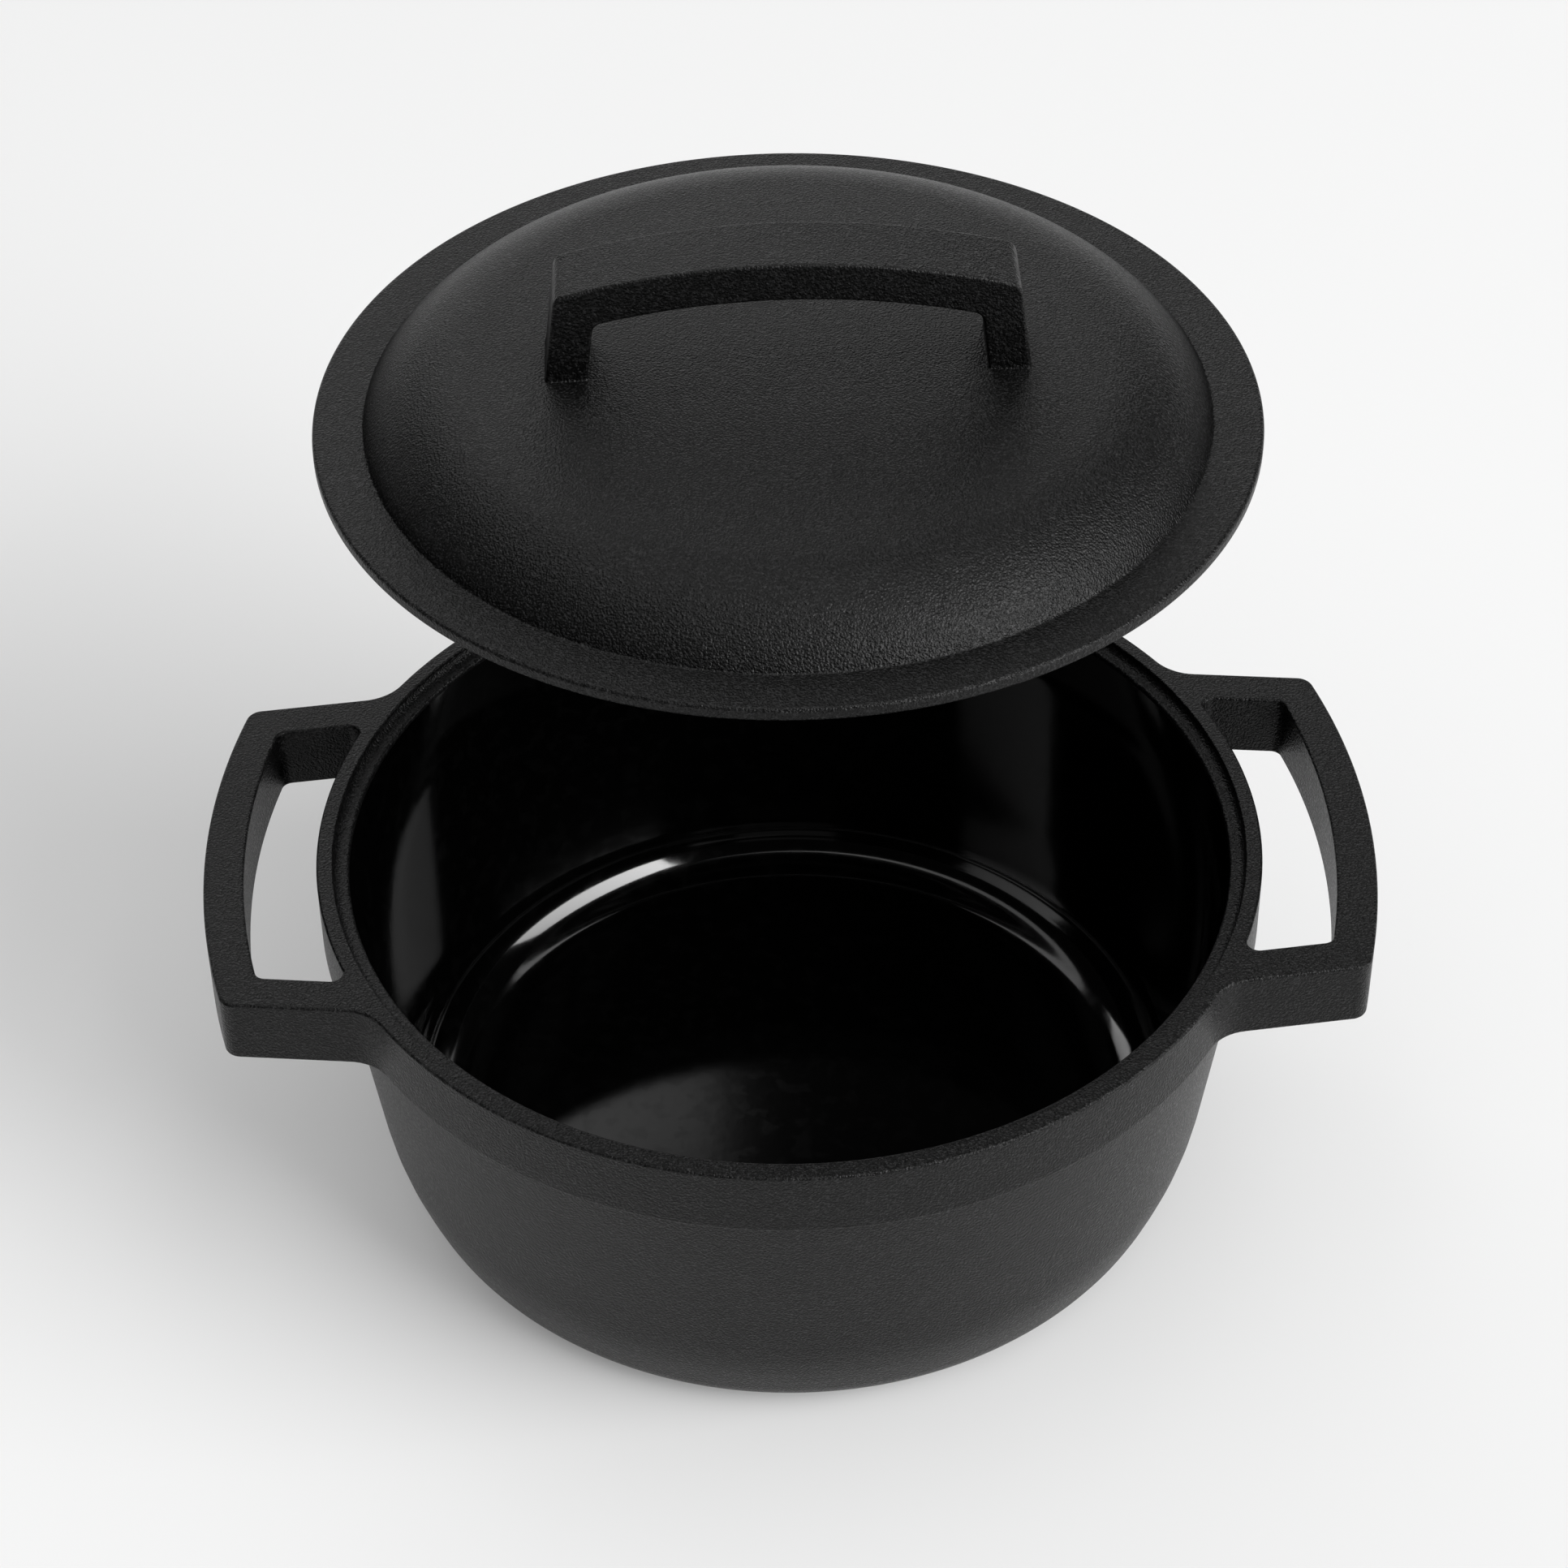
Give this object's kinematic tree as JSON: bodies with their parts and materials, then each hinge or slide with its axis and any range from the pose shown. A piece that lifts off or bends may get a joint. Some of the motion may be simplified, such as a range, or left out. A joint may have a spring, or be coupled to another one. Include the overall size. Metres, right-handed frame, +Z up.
{
  "type": "round dutch oven",
  "caption": "Round cast iron cooking pot with two loop side handles and a lift-off domed lid with an arched handle.",
  "frame": {"origin": "centre of the pot's flat base", "axes": "+Z up along the pot's axis, +X through one side handle, -Y towards a cook who faces the pot; the lid is drawn lifted off, up and towards +Y"},
  "size_m": [0.3088, 0.2765, 0.2723],
  "materials": {
    "matte_enamel": "cast iron under matte black enamel with a fine sandy grain",
    "gloss_enamel": "smooth glossy black enamel"
  },
  "bodies": {
    "pot": {"pot_casting": "matte_enamel", "pot_lining": "gloss_enamel"},
    "lid": {"lid_casting": "matte_enamel", "lid_lining": "gloss_enamel"}
  },
  "joints": [
    {"name": "lid_lift", "type": "slide", "parent": "pot", "child": "lid", "axis": [0.0168, 0.268, 0.9633], "range_m": [-0.11939, 0]}
  ]
}
